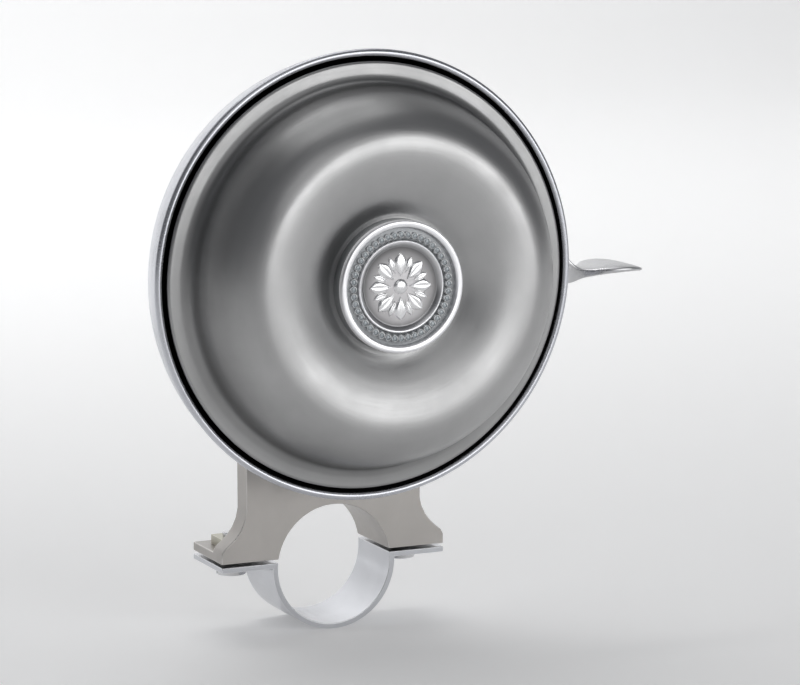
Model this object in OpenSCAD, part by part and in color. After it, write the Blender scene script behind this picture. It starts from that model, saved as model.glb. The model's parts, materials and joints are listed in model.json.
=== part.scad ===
// Revolving bicycle bell with a thumb lever and a two-screw handlebar clamp.
// Millimetres. The origin is the centre of the handlebar bore, +Z is up,
// the gong faces -Y and the thumb lever points along +X.
// Bell modules are written in the bell's own axes: x right, y up, z towards the
// rider's front, measured from the rear face of the back shell.

/* [Bell body] */
// outer radius of the back shell's rim
rim_r = 40; // [32:0.5:50]
// sheet thickness of the back shell
shell_t = 0.9; // [0.6:0.1:1.4]
// sheet thickness of the gong
gong_t = 1.0; // [0.8:0.1:1.6]
// height of the gong's highest ring above the shell's rear face
crest_z = 29.9; // [27:0.1:36]
// height of the flat centre of the gong
dish_z = 26.2; // [24:0.1:34]

/* [Medallion] */
// outer radius of the medallion cap
medal_r = 11.6; // [9.6:0.1:13]
// number of beads in the border
bead_count = 44; // [24:1:60]
// number of petals in the rosette
petal_count = 8; // [5:1:12]

/* [Handlebar clamp] */
// radius of the handlebar
bar_r = 11.1; // [10:0.1:16]
// length of the clamp along the handlebar
clamp_len = 14; // [10:0.5:20]
// gap from the rim's lowest point to the top of the handlebar
neck_gap = 3.7; // [3:0.1:8]
// half the width of the bracket's neck
neck_half = 17.2; // [14:0.1:22]
// sheet thickness of the bracket
bracket_t = 1.6; // [1.2:0.1:2.4]
// sheet thickness of the strap
strap_t = 1.0; // [0.8:0.1:1.6]
// width of each ear outside the bracket's arch
ear_reach = 9.3; // [8:0.1:12]
// depth of the bracket's stiffening lip
lip_depth = 4.4; // [3:0.1:6]

/* [Thumb lever] */
// width of the thumb pad
pad_w = 13; // [9:0.5:16]
// thickness of the lever's root
lever_t = 2.2; // [1.6:0.1:3]

/* [Gear train] */
// gear module
tooth_m = 0.8; // [0.6:0.05:1.2]
// teeth on the full circle of the lever's sector
sector_n = 42; // [36:1:50]
// teeth on the pinion that the sector drives
idler_n = 10; // [9:1:14]
// teeth on the gear that drives the gong
drive_n = 20; // [14:1:24]
// teeth on the gong's gear
gong_n = 24; // [20:1:30]
// teeth on the wheel that drives the rotor
wheel_n = 32; // [26:1:34]
// teeth on the rotor's pinion
rotor_n = 12; // [10:1:18]

/* [Rotor] */
// distance from the centre to each striker's pin
pin_x = 17; // [13:0.5:20]
// radius of a striker's round head
head_r = 4.75; // [3.5:0.05:6]

/* [Hidden] */
$fn = 96;

// where the bell sits over the handlebar
rise = rim_r + neck_gap + bar_r;
rear_y = -clamp_len / 2;

// running clearance, the play between parts that pass each other, the gap along
// the axis between parts that turn at different speeds, a sleeve's end play, and
// the gap left between faces that rub
run = 0.05;
play = 0.3;
shim = 0.4;
end_play = 0.2;
rub = 0.1;
// how far a cutter stands past what it cuts
eps = 0.5;

// heights of the mechanism's levels
plate_z = shell_t;
plate_t = 1.2;
floor_z = plate_z + plate_t;
arm_z = floor_z + 1.5;
arm_t = 1.2;
root_z = arm_z + arm_t;
root_top = root_z + lever_t;
slow_z = 6.0;
slow_t = 1.6;
fast_z = 8.2;
fast_t = 2.0;
bar_z = 16;
bar_t = 1.4;
strike_z = bar_z + bar_t + shim;
strike_t = 2.6;
hub_low = floor_z + 0.5;
hub_face = dish_z - gong_t;
hub_top = dish_z + 1.7;
post_top = dish_z - shim;

// radii of the shafts, hubs and sleeves
post_r = 2;
post_foot_r = post_r + 0.5;
thread_r = 1.25;
hub_r = 2.8;
stem_r = 4.5;
nut_r = medal_r - 3.5;
idler_r = 1.2;
idler_hub_r = 2.1;
lever_pin_r = 1.6;
lever_hub_r = 4.4;
bush_r = 2.6;
rotor_r = 3.4;

// gear train layout
press_ang = 25;
tip_k = 0.8;
root_k = 1.0;
tooth_thin = 0.06;
lever_at = [24, -2];
lever_far = norm(lever_at);
lever_dir = atan2(lever_at.y, lever_at.x);
idler_far = tooth_m * (drive_n + gong_n) / 2;
sector_far = tooth_m * (sector_n + idler_n) / 2;
swing = (idler_far * idler_far + lever_far * lever_far - sector_far * sector_far)
  / (2 * idler_far * lever_far);
idler_dir = lever_dir + acos(swing);
idler_at = idler_far * [cos(idler_dir), sin(idler_dir)];
to_lever = lever_at - idler_at;
mesh_dir = atan2(to_lever.y, to_lever.x);

// strikers, and the lugs that stand in from the gong's wall for them to catch
lug_r = 0.7875 * rim_r;
lug_root_r = 0.825 * rim_r;
lug_turns = [38, 218];
lug_span = 14;
arm_len = lug_r - play - pin_x - head_r;
arm_w = 3.8;
striker_eye_r = 2.8;
striker_pin_r = 1.2;
head_hole_r = 1.2;

// clamp
arch_r = bar_r + bracket_t;
strap_r = bar_r + strap_t;
ear_x = arch_r + ear_reach;
screw_x = (arch_r + ear_x) / 2 - 0.35;
screw_r = 1.5;
screw_play = 0.15;
screw_head_r = 2.75;
screw_head_h = 2;
screw_end = 0.8;
drive_slot_w = 0.8;
drive_slot_deep = 0.8;
ear_gap = 0.6;
strap_top = 1.2;
strap_low = strap_top - strap_t;
ear_low = strap_top + ear_gap;
ear_high = ear_low + bracket_t;
screw_z = -(clamp_len + lip_depth - 2) / 2;
nut_w = 5.5;
nut_h = 1.8;

// a line of [radius, height] points moved sideways by a distance
function along(line, i) = line[min(i + 1, len(line) - 1)] - line[max(i - 1, 0)];
function side(t) = [t.y, -t.x] / norm(t);
function shifted(line, d) = [for (i = [0:len(line) - 1]) line[i] + d * side(along(line, i))];
function turned(line) = [for (i = [len(line) - 1:-1:0]) line[i]];
function flipped(line) = [for (i = [len(line) - 1:-1:0]) [-line[i].x, line[i].y]];
function at_rim(line) = [for (p = line) [p.x * rim_r, p.y]];

// the gong's outer line, from its edge to its centre: radius as a share of rim_r
function lift(k) = dish_z + k * (crest_z - dish_z);
edge_z = 15.5;
gong_line = at_rim([[0.935, edge_z], [0.885, edge_z + 0.25], [0.862, edge_z + 0.8],
  [0.848, edge_z + 1.9], [0.836, edge_z + 3.9], [0.818, edge_z + 6.5],
  [0.79, lift(-0.43)], [0.75, lift(0.22)], [0.70, lift(0.70)], [0.655, lift(0.93)],
  [0.61, lift(1)], [0.56, lift(0.96)], [0.50, lift(0.82)], [0.44, lift(0.60)],
  [0.385, lift(0.35)], [0.34, lift(0.12)], [0.315, lift(0.02)], [0.30, lift(0)],
  [0.29, lift(0)]]);

// the back shell's outer line, from its flat rear to the rim
shell_line = at_rim([[0.60, 0], [0.68, 0], [0.72, 0.05], [0.7875, 0.5], [0.865, 1.9],
  [0.925, 4.4], [0.9625, 7.6], [0.983, 11], [0.99, 13.6]]);
rim_line = at_rim([[1, 14.1], [1, 14.9], [0.99, 15.3], [0.975, 15.3], [0.965, 14.9],
  [0.965, 13.6]]);

// right-hand edge of the bracket, from the ear tip up, about the handlebar's centre
flare = ear_x - neck_half;
lip_t = 1.2;
plate_top = rise + 12;
plate_corner = 4;
neck_line = [[ear_x, ear_low], [ear_x, ear_high + 0.2], [ear_x - 0.1 * flare, 4.5],
  [ear_x - 0.33 * flare, 5.4], [ear_x - 0.57 * flare, 6.5], [ear_x - 0.77 * flare, 7.8],
  [ear_x - 0.92 * flare, 9.4], [neck_half, 11.2], [neck_half, plate_top - plate_corner]];

// lever outline beyond the rim, upper edge then lower edge back to the rim
lever_top = at_rim([[0.997, 1.5], [1.088, 0.5], [1.099, -0.27], [1.116, -1.22],
  [1.143, -1.96], [1.17, -2.23], [1.204, -2.07], [1.245, -1.72], [1.293, -1.55],
  [1.34, -1.58], [1.388, -1.8], [1.428, -2.23], [1.456, -2.6], [1.475, -2.95]]);
lever_low = at_rim([[1.475, -3.2], [1.435, -3.15], [1.367, -2.95], [1.313, -3.05],
  [1.258, -3.26], [1.204, -3.73], [1.163, -4.14], [1.122, -4.9], [1.082, -5.16],
  [1.027, -5.52], [0.983, -5.72]]);
pad_z = (root_z + root_top) / 2;

// involute gears
function inv(a) = tan(a) * 180 / PI - a;
function flank_at(n, rr) = let (r = tooth_m * n / 2, rb = r * cos(press_ang))
  90 / n - tooth_thin / (2 * r) * 180 / PI + inv(press_ang) - inv(acos(min(1, rb / rr)));
function flank(n) = let (r = tooth_m * n / 2, rb = r * cos(press_ang),
    low = max(r - root_k * tooth_m, rb), high = r + tip_k * tooth_m)
  concat(r - root_k * tooth_m < rb - 0.05 ? [[r - root_k * tooth_m, flank_at(n, low)]] : [],
    [for (k = [0:3]) let (rr = low + (high - low) * k / 3) [rr, flank_at(n, rr)]]);
function polar(r, a) = [r * cos(a), r * sin(a)];
function tooth(n, a) = let (f = flank(n)) concat(
  [for (p = f) polar(p.x, a - p.y)], [for (p = turned(f)) polar(p.x, a + p.y)]);
function teeth(n, phase, first, last) = [for (i = [first:last])
  for (p = tooth(n, phase + 360 * i / n)) p];

// bell axes to world axes
module bell() {
  translate([0, rear_y, rise]) rotate([90, 0, 0]) children();
}

module clamp_axes() {
  bell() translate([0, -rise, 0]) children();
}

// a cylinder between two heights
module rod(r, z1, z2) {
  translate([0, 0, z1]) cylinder(r = r, h = z2 - z1);
}

// an upright square block of side w between two heights
module block(w, z1, z2) {
  translate([-w / 2, -w / 2, z1]) cube([w, w, z2 - z1]);
}

module plate(z1, z2) {
  translate([0, 0, z1]) linear_extrude(height = z2 - z1) children();
}

module at(p) {
  translate([p.x, p.y, 0]) children();
}

module gear(n, phase, bore, z1, z2) {
  difference() {
    plate(z1, z2) polygon(teeth(n, phase, 0, n - 1));
    rod(bore, z1 - eps, z2 + eps);
  }
}

// a spring clip: a ring with one open side, its mouth narrower than the groove
mouth_k = 0.8;

module open_clip(r1, r2, z1, z2) {
  difference() {
    rod(r2, z1, z2);
    rod(r1, z1 - eps, z2 + eps);
    translate([-mouth_k * r1, -r2 - eps, z1 - eps])
      cube([2 * mouth_k * r1, r2 + eps, z2 - z1 + 2 * eps]);
  }
}

// ---- handlebar clamp ----

module handlebar_bracket() {
  color([0.66, 0.65, 0.63]) clamp_axes() difference() {
    union() {
      plate(-bracket_t, 0) polygon(concat(neck_line,
        [[neck_half - plate_corner, plate_top], [plate_corner - neck_half, plate_top]],
        flipped(neck_line)));
      for (s = [0, 1]) mirror([s, 0]) plate(-lip_depth, -bracket_t)
        polygon(concat(neck_line, turned(shifted(neck_line, -lip_t))));
      translate([-ear_x, ear_low, -clamp_len]) cube([2 * ear_x, bracket_t, clamp_len]);
      intersection() {
        rod(arch_r, -clamp_len, 0);
        translate([-arch_r - eps, ear_low, -clamp_len - eps])
          cube([2 * arch_r + 2 * eps, arch_r + eps, clamp_len + 2 * eps]);
      }
    }
    rod(bar_r, -clamp_len - eps, eps);
    for (s = [-1, 1]) translate([s * screw_x, ear_low - eps, screw_z])
      rotate([-90, 0, 0]) cylinder(r = screw_r + screw_play, h = bracket_t + 2 * eps);
    translate([0, rise, 0]) rod(post_foot_r, -bracket_t - eps, eps);
    for (p = rivet_spots) translate([p.x, p.y + rise, 0]) rod(rivet_r, -bracket_t - eps, eps);
  }
}

module clamp_strap() {
  color([0.86, 0.87, 0.88]) clamp_axes() difference() {
    union() {
      intersection() {
        rod(strap_r, -clamp_len, 0);
        translate([-strap_r - eps, strap_top - 2 * strap_r, -clamp_len - eps])
          cube([2 * strap_r + 2 * eps, 2 * strap_r, clamp_len + 2 * eps]);
      }
      translate([-ear_x, strap_low, -clamp_len]) cube([2 * ear_x, strap_t, clamp_len]);
    }
    rod(bar_r, -clamp_len - eps, eps);
    for (s = [-1, 1]) translate([s * screw_x, strap_low - eps, screw_z])
      rotate([-90, 0, 0]) cylinder(r = screw_r + screw_play, h = strap_t + 2 * eps);
  }
}

// a screwdriver slot across a head of radius r, its floor at height z
module drive_slot(r, z) {
  translate([-r - eps, -drive_slot_w / 2, z])
    cube([2 * r + 2 * eps, drive_slot_w, drive_slot_deep + eps]);
}

module clamp_screws() {
  color([0.80, 0.80, 0.80]) clamp_axes()
    for (s = [-1, 1]) translate([s * screw_x, strap_low, screw_z])
      rotate([-90, 0, 0]) difference() {
        union() {
          rod(screw_head_r, -screw_head_h, 0);
          rod(screw_r, 0, strap_t + ear_gap + bracket_t + nut_h + screw_end);
        }
        drive_slot(screw_head_r, -screw_head_h - eps);
      }
}

module clamp_nuts() {
  color([0.74, 0.72, 0.66]) clamp_axes()
    for (s = [-1, 1]) translate([s * screw_x, ear_high, screw_z])
      rotate([-90, 0, 0]) difference() {
        translate([-nut_w / 2, -nut_w / 2, 0]) cube([nut_w, nut_w, nut_h]);
        rod(screw_r, -eps, nut_h + eps);
      }
}

// ---- fixed frame inside the bell ----

rivet_r = 1.5;
rivet_head_r = 2.5;
rivet_head_t = 0.8;
rivet_spots = [[-12, 6], [12, -15], [-12, -15]];
// the shell's slot for the lever, from pressed to released
slot_low = -15.2;
slot_high = 2.3;
slot_play = 0.5;
slot_from = 0.75 * rim_r;
slot_deep = 0.5 * rim_r;

module back_shell() {
  color([0.84, 0.85, 0.88]) bell() difference() {
    rotate_extrude() polygon(concat([[post_foot_r, 0]], shell_line, rim_line,
      turned(shifted(shell_line, -shell_t)), [[post_foot_r, shell_t]]));
    translate([slot_from, slot_low, root_z - slot_play])
      cube([slot_deep, slot_high - slot_low, lever_t + 2 * slot_play]);
    for (p = rivet_spots) at(p) rod(rivet_r, -eps, shell_t + eps);
  }
}

anchor_at = [21.4, -13];
anchor_w = 2.6;
anchor_root = 1.6;
// the plate fills the shell's flat rear, and is pierced to save weight
plate_r = shell_line[1].x - 0.2;
pierce_r = 3;
pierce_far = 19.5;
pierce_turns = [100, 140, 180, 210];

module mechanism_plate() {
  color([0.14, 0.14, 0.15]) bell() difference() {
    rod(plate_r, plate_z, floor_z);
    rod(post_foot_r, 0, floor_z + eps);
    at(idler_at) rod(idler_r, 0, floor_z + eps);
    at(lever_at) rod(lever_pin_r, 0, floor_z + eps);
    at(anchor_at) block(anchor_root, 0, floor_z + eps);
    for (p = rivet_spots) at(p) rod(rivet_r, 0, floor_z + eps);
    for (a = pierce_turns) rotate([0, 0, a]) translate([pierce_far, 0, 0])
      rod(pierce_r, 0, floor_z + eps);
  }
}

module bracket_rivets() {
  color([0.72, 0.72, 0.72]) bell() for (p = rivet_spots) at(p) {
    rod(rivet_r, -bracket_t, floor_z);
    rod(rivet_head_r, floor_z, floor_z + rivet_head_t);
    rod(rivet_head_r, -bracket_t - rivet_head_t, -bracket_t);
  }
}

// centre post, riveted through the bracket, and the screw in its end
post_head_r = 3.6;
post_head_t = 0.9;
post_collar_r = 4;
post_collar_t = 0.4;
thread_len = 9;
thread_spare = 1;
post_screw_head_r = 3.2;
post_screw_head_t = 1.6;

module centre_post() {
  color([0.78, 0.78, 0.79]) bell() difference() {
    union() {
      rod(post_head_r, -bracket_t - post_head_t, -bracket_t);
      rod(post_foot_r, -bracket_t, floor_z);
      rod(post_collar_r, floor_z, floor_z + post_collar_t);
      rod(post_r, floor_z, post_top);
    }
    rod(thread_r, post_top - thread_len - thread_spare, post_top + eps);
  }
}

module post_screw() {
  color([0.80, 0.80, 0.80]) bell() difference() {
    union() {
      rod(thread_r, post_top - thread_len, post_top);
      rod(post_screw_head_r, post_top, post_top + post_screw_head_t);
    }
    drive_slot(post_screw_head_r, post_top + post_screw_head_t - drive_slot_deep);
  }
}

// return spring: its wire, its coil on the lever's pin, and the leg to the anchor
wire_r = 0.4;
turns = 3;
coil_mid = 2.6;
coil_low = root_top + shim;
coil_top = coil_low + turns * 2 * wire_r;
leg_z = coil_top - wire_r;
leg_end = 1;
anchor_over = 1;
wire_sides = 10;
hook_sides = 8;
hook_at = [29.5, 0.6];
hook_low = root_z + 0.5;

// pins riveted in the plate, each with a shoulder, and a groove for its clip
clip_t = 0.6;
groove_k = 0.7;
pin_end = 0.6;
lever_shoulder_r = 3;
lever_clip_r = 2.8;
lever_clip_z = coil_top + end_play;
idler_shoulder_r = 2.2;
idler_clip_r = 2.2;
wheel_top = fast_z + fast_t;
idler_clip_z = wheel_top + shim;

module grooved_pin(r, shoulder_r, shoulder_z, clip_z) {
  rod(r, plate_z, clip_z);
  rod(shoulder_r, floor_z, shoulder_z);
  rod(r * groove_k, clip_z, clip_z + clip_t);
  rod(r, clip_z + clip_t, clip_z + clip_t + pin_end);
}

module lever_pivot_pin() {
  color([0.76, 0.76, 0.78]) bell() at(lever_at)
    grooved_pin(lever_pin_r, lever_shoulder_r, arm_z - rub, lever_clip_z);
}

module lever_clip() {
  color([0.55, 0.55, 0.56]) bell() at(lever_at)
    open_clip(lever_pin_r * groove_k, lever_clip_r, lever_clip_z, lever_clip_z + clip_t);
}

module idler_post() {
  color([0.76, 0.76, 0.78]) bell() at(idler_at)
    grooved_pin(idler_r, idler_shoulder_r, arm_z - shim, idler_clip_z);
}

module idler_clip() {
  color([0.55, 0.55, 0.56]) bell() at(idler_at)
    open_clip(idler_r * groove_k, idler_clip_r, idler_clip_z, idler_clip_z + clip_t);
}

module spring_anchor() {
  color([0.60, 0.60, 0.60]) bell() at(anchor_at) difference() {
    union() {
      block(anchor_root, plate_z, floor_z);
      block(anchor_w, floor_z, leg_z + anchor_over);
    }
    translate([0, -anchor_w, leg_z]) rotate([-90, 0, 0])
      cylinder(r = wire_r + run, h = 2 * anchor_w);
  }
}

// the coil's section, as a line of half circles up the outside and down the inside
function bumps(s) = [for (i = [0:turns - 1]) for (a = [-60, 0, 60])
  [coil_mid + s * wire_r * cos(a), coil_low + wire_r * (2 * i + 1 + sin(a))]];

module return_spring() {
  color([0.70, 0.70, 0.71]) bell() {
    at(lever_at) rotate_extrude() polygon(concat(bumps(1), turned(bumps(-1))));
    translate([lever_at.x - coil_mid, anchor_at.y - leg_end, leg_z]) rotate([-90, 0, 0])
      cylinder(r = wire_r, h = lever_at.y - anchor_at.y + leg_end, $fn = wire_sides);
    translate([lever_at.x, lever_at.y + coil_mid, coil_low + wire_r]) rotate([0, 90, 0])
      cylinder(r = wire_r, h = hook_at.x - lever_at.x, $fn = wire_sides);
    at(hook_at) translate([0, 0, hook_low])
      cylinder(r = wire_r, h = coil_low + 1.5 * wire_r - hook_low, $fn = hook_sides);
  }
}

// ---- thumb lever, turning on its pin ----

sector_rivet_spots = [[28.6, -4.4], [31.6, -1.6]];
sector_rivet_r = 0.9;
sector_rivet_head_r = 1.5;
sector_rivet_head_t = 0.35;
// the lever's arm inside the bell: its end, upper edge and lower edge
arm_x = 32;
arm_up = 1.9;
arm_down = -6.1;
arm_foot = -6;

module thumb_lever() {
  color([0.80, 0.81, 0.84]) bell() difference() {
    union() {
      at(lever_at) rod(lever_hub_r, root_z, root_top);
      intersection() {
        plate(pad_z - pad_w, pad_z + pad_w) polygon(concat(
          [[lever_at.x, arm_up], [arm_x, arm_up]], lever_top, lever_low,
          [[arm_x, arm_down], [lever_at.x, arm_foot]]));
        translate([0, rim_r, 0]) rotate([90, 0, 0]) linear_extrude(height = 2 * rim_r)
          polygon(concat(pad_line, [for (p = turned(pad_line)) [p.x, 2 * pad_z - p.y]]));
      }
    }
    at(lever_at) rod(bush_r, root_z - eps, root_top + eps);
    at(hook_at) rod(wire_r + run, root_z - eps, root_top + eps);
    for (p = sector_rivet_spots) at(p) rod(sector_rivet_r, root_z - eps, root_top + eps);
  }
}

// half the plan outline of the lever: narrow root, waisted neck, rounded thumb pad
half_t = lever_t / 2;
half_pad = pad_w / 2;
pad_line = [[lever_at.x - 5, pad_z + half_t], [1.09 * rim_r, pad_z + half_t],
  [1.14 * rim_r, pad_z + 0.28 * half_pad], [1.185 * rim_r, pad_z + 0.48 * half_pad],
  [1.23 * rim_r, pad_z + 0.76 * half_pad], [1.28 * rim_r, pad_z + 0.95 * half_pad],
  [1.33 * rim_r, pad_z + half_pad], [1.38 * rim_r, pad_z + 0.94 * half_pad],
  [1.42 * rim_r, pad_z + 0.78 * half_pad], [1.455 * rim_r, pad_z + 0.5 * half_pad],
  [1.47 * rim_r, pad_z + 0.25 * half_pad], [1.475 * rim_r, pad_z + 0.1 * half_pad]];

sector_phase = mesh_dir + 180 + 180 / sector_n;
sector_first = -2;
sector_last = 5;
sector_tail = [[lever_at.x, -5.8], [30, -5.8], [33.6, -3.6], [33.6, 0.4], [lever_at.x, 1]];
sector_hole_turns = [10, 30];
sector_hole_far = 11.5;
sector_hole_r = 1.7;

module sector_gear() {
  color([0.78, 0.64, 0.34]) bell() difference() {
    union() {
      at(lever_at) rod(lever_hub_r, arm_z, root_z);
      at(lever_at) plate(arm_z, root_z)
        polygon(concat([[0, 0]], teeth(sector_n, sector_phase, sector_first, sector_last)));
      plate(arm_z, root_z) polygon(sector_tail);
    }
    at(lever_at) rod(bush_r, arm_z - eps, root_z + eps);
    for (a = sector_hole_turns) at(lever_at) rotate([0, 0, mesh_dir + 180 + a])
      translate([sector_hole_far, 0, 0]) rod(sector_hole_r, arm_z - eps, root_z + eps);
    for (p = sector_rivet_spots) at(p) rod(sector_rivet_r, arm_z - eps, root_z + eps);
  }
}

module sector_rivets() {
  color([0.72, 0.72, 0.72]) bell() for (p = sector_rivet_spots) at(p) {
    rod(sector_rivet_r, arm_z, root_top);
    rod(sector_rivet_head_r, root_top, root_top + sector_rivet_head_t);
  }
}

module lever_bush() {
  color([0.72, 0.55, 0.28]) bell() at(lever_at) difference() {
    rod(bush_r, arm_z, root_top + end_play);
    rod(lever_pin_r + run, arm_z - eps, root_top + end_play + eps);
  }
}

// ---- idler: three gears on one sleeve ----

module idler_sleeve() {
  color([0.72, 0.55, 0.28]) bell() at(idler_at) difference() {
    rod(idler_hub_r, arm_z - play, wheel_top + end_play);
    rod(idler_r + run, arm_z - play - eps, wheel_top + end_play + eps);
  }
}

// how far the pinion stands above the sector it meshes with
pinion_over = 0.6;

module idler_pinion() {
  color([0.78, 0.64, 0.34]) bell() at(idler_at)
    gear(idler_n, mesh_dir, idler_hub_r, arm_z, root_z + pinion_over);
}

module gong_drive_gear() {
  color([0.78, 0.64, 0.34]) bell() at(idler_at)
    gear(drive_n, idler_dir + 180, idler_hub_r, slow_z, slow_z + slow_t);
}

// holes that lighten the idler's large wheel
wheel_hole_far = 7;
wheel_hole_r = 2.2;

module idler_wheel() {
  color([0.78, 0.64, 0.34]) bell() at(idler_at) difference() {
    gear(wheel_n, idler_dir + 180, idler_hub_r, fast_z, wheel_top);
    for (a = [0:60:300]) rotate([0, 0, a]) translate([wheel_hole_far, 0, 0])
      rod(wheel_hole_r, fast_z - eps, wheel_top + eps);
  }
}

// ---- rotor: carries the two loose strikers ----

rotor_low = slow_z + slow_t + play;
bar_w = 6;
bar_eye_r = 6;
bar_end_r = 3.4;

module rotor_sleeve() {
  color([0.72, 0.55, 0.28]) bell() difference() {
    union() {
      rod(rotor_r, rotor_low, strike_z - end_play);
      rod(stem_r, wheel_top + play, bar_z);
    }
    rod(hub_r + run, rotor_low - eps, strike_z + eps);
  }
}

module rotor_pinion() {
  color([0.78, 0.64, 0.34]) bell()
    gear(rotor_n, idler_dir + 180 / rotor_n, rotor_r, fast_z - end_play, wheel_top + play);
}

module rotor_bar() {
  color([0.70, 0.71, 0.72]) bell() difference() {
    union() {
      for (s = [-1, 1]) translate([s * pin_x, 0, 0]) rod(bar_end_r, bar_z, bar_z + bar_t);
      translate([-pin_x, -bar_w / 2, bar_z]) cube([2 * pin_x, bar_w, bar_t]);
      rod(bar_eye_r, bar_z, bar_z + bar_t);
    }
    rod(rotor_r, bar_z - eps, bar_z + bar_t + eps);
    for (s = [-1, 1]) translate([s * pin_x, 0, 0])
      rod(striker_pin_r, bar_z - eps, bar_z + bar_t + eps);
  }
}

pin_top = strike_z + strike_t + end_play;
pin_head_r = striker_pin_r + 0.8;
pin_head_t = 0.6;
pin_foot_t = 0.8;

module striker_pins() {
  color([0.76, 0.76, 0.78]) bell() for (s = [-1, 1]) translate([s * pin_x, 0, 0]) {
    rod(striker_pin_r, bar_z - pin_foot_t, pin_top + pin_head_t);
    rod(pin_head_r, bar_z - pin_foot_t, bar_z);
    rod(pin_head_r, pin_top, pin_top + pin_head_t);
  }
}

// a loose striker hanging from its pin
module striker(s) {
  bell() translate([s * pin_x, 0, 0]) difference() {
    union() {
      rod(striker_eye_r, strike_z, strike_z + strike_t);
      translate([-arm_w / 2, -arm_len, strike_z]) cube([arm_w, arm_len, strike_t]);
      translate([0, -arm_len, 0]) rod(head_r, strike_z, strike_z + strike_t);
    }
    rod(striker_pin_r + run, strike_z - eps, strike_z + strike_t + eps);
    translate([0, -arm_len, 0]) rod(head_hole_r, strike_z - eps, strike_z + strike_t + eps);
  }
}

module striker_a() {
  color([0.62, 0.63, 0.65]) striker(1);
}

module striker_b() {
  color([0.62, 0.63, 0.65]) striker(-1);
}

// ---- gong, revolving on the centre post ----

module gong() {
  color([0.74, 0.75, 0.77]) bell() {
    rotate_extrude() polygon(concat(gong_line, [[stem_r, dish_z], [stem_r, hub_face]],
      turned(shifted(gong_line, -gong_t))));
    for (a = lug_turns) rotate([0, 0, a]) rotate_extrude(angle = lug_span)
      translate([lug_r, strike_z + play]) square([lug_root_r - lug_r, strike_t - 2 * play]);
  }
}

hub_flange_r = 7;
hub_flange_t = 1.4;
hub_recess_r = post_screw_head_r + play;

module gong_hub() {
  color([0.78, 0.78, 0.80]) bell() difference() {
    union() {
      rod(hub_r, hub_low, hub_face);
      rod(hub_flange_r, hub_face - hub_flange_t, hub_face);
      rod(stem_r, hub_face - hub_flange_t / 2, hub_top);
    }
    rod(post_r + run, hub_low - eps, hub_top + eps);
    rod(hub_recess_r, post_top - end_play, hub_top + eps);
  }
}

module gong_gear() {
  color([0.78, 0.64, 0.34]) bell()
    gear(gong_n, idler_dir + 180 / gong_n, hub_r, slow_z, slow_z + slow_t);
}

retainer_r = hub_r + 1.2;
retainer_low = strike_z + rub;
retainer_top = retainer_low + 0.8;

module rotor_retainer() {
  color([0.55, 0.55, 0.56]) bell() difference() {
    rod(retainer_r, retainer_low, retainer_top);
    rod(hub_r, retainer_low - eps, retainer_top + eps);
  }
}

washer_t = 0.4;
gong_nut_t = 1.3;

module gong_washer() {
  color([0.16, 0.16, 0.17]) bell() difference() {
    rod(nut_r, dish_z, dish_z + washer_t);
    rod(stem_r, dish_z - eps, dish_z + washer_t + eps);
  }
}

module gong_nut() {
  color([0.74, 0.72, 0.66]) bell() difference() {
    translate([0, 0, dish_z + washer_t]) cylinder(r = nut_r, h = gong_nut_t, $fn = 6);
    rod(stem_r, dish_z + washer_t - eps, dish_z + washer_t + gong_nut_t + eps);
  }
}

// medallion surface: outer ring, bead channel, inner step, disc
cap_z = dish_z + 1.8;
floor_top = cap_z + 0.5;
disc_top = cap_z + 0.65;
ring_top = cap_z + 1.5;
cap_wall = 1;
cap_sag = 0.2;
collar_r = nut_r + run;
collar_t = 0.65;
collar_low = dish_z + 0.5;
// raised work on it, each let into the surface it stands on
raised_root = 0.1;
bead_far = 0.78 * medal_r;
bead_r = 0.0615 * medal_r;
bead_up = 0.6;
button_r = 0.125 * medal_r;
button_up = 0.55;
petal_len = 0.5 * medal_r;
petal_up = 0.4;
petal = [[0.15, 0], [0.3, 0.06], [0.5, 0.155], [0.7, 0.185], [0.87, 0.13], [1, 0]];

module medallion_cap() {
  color([0.88, 0.89, 0.92]) bell() {
    rotate_extrude() polygon([[0, cap_z], [collar_r, cap_z], [collar_r, collar_low],
      [collar_r + collar_t, collar_low], [collar_r + collar_t, cap_z],
      [medal_r - cap_wall, cap_z - cap_sag], [medal_r - cap_wall, dish_z], [medal_r, dish_z],
      [medal_r, ring_top - 0.6], [0.979 * medal_r, ring_top - 0.15],
      [0.944 * medal_r, ring_top], [0.914 * medal_r, ring_top - 0.05],
      [0.89 * medal_r, ring_top - 0.3], [0.878 * medal_r, floor_top + 0.1],
      [0.86 * medal_r, floor_top], [0.70 * medal_r, floor_top],
      [0.68 * medal_r, floor_top + 0.15], [0.645 * medal_r, disc_top + 0.4],
      [0.62 * medal_r, disc_top + 0.4], [0.605 * medal_r, disc_top], [0, disc_top]]);
    for (i = [0:bead_count - 1]) rotate([0, 0, 360 * i / bead_count])
      translate([bead_far, 0, floor_top - raised_root])
        cylinder(r = bead_r, h = raised_root + bead_up, $fn = 12);
    for (i = [0:petal_count - 1]) rotate([0, 0, 360 * i / petal_count])
      plate(disc_top - raised_root, disc_top + petal_up) polygon(petal_len * concat(petal,
        [for (k = [len(petal) - 2:-1:1]) [petal[k].x, -petal[k].y]]));
    rod(button_r, disc_top - raised_root, disc_top + button_up);
  }
}

handlebar_bracket();
clamp_strap();
clamp_screws();
clamp_nuts();
back_shell();
mechanism_plate();
bracket_rivets();
centre_post();
post_screw();
lever_pivot_pin();
lever_clip();
idler_post();
idler_clip();
spring_anchor();
return_spring();
thumb_lever();
sector_gear();
sector_rivets();
lever_bush();
idler_sleeve();
idler_pinion();
gong_drive_gear();
idler_wheel();
rotor_sleeve();
rotor_pinion();
rotor_bar();
striker_pins();
striker_a();
striker_b();
gong();
gong_hub();
gong_gear();
rotor_retainer();
gong_washer();
gong_nut();
medallion_cap();
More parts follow.
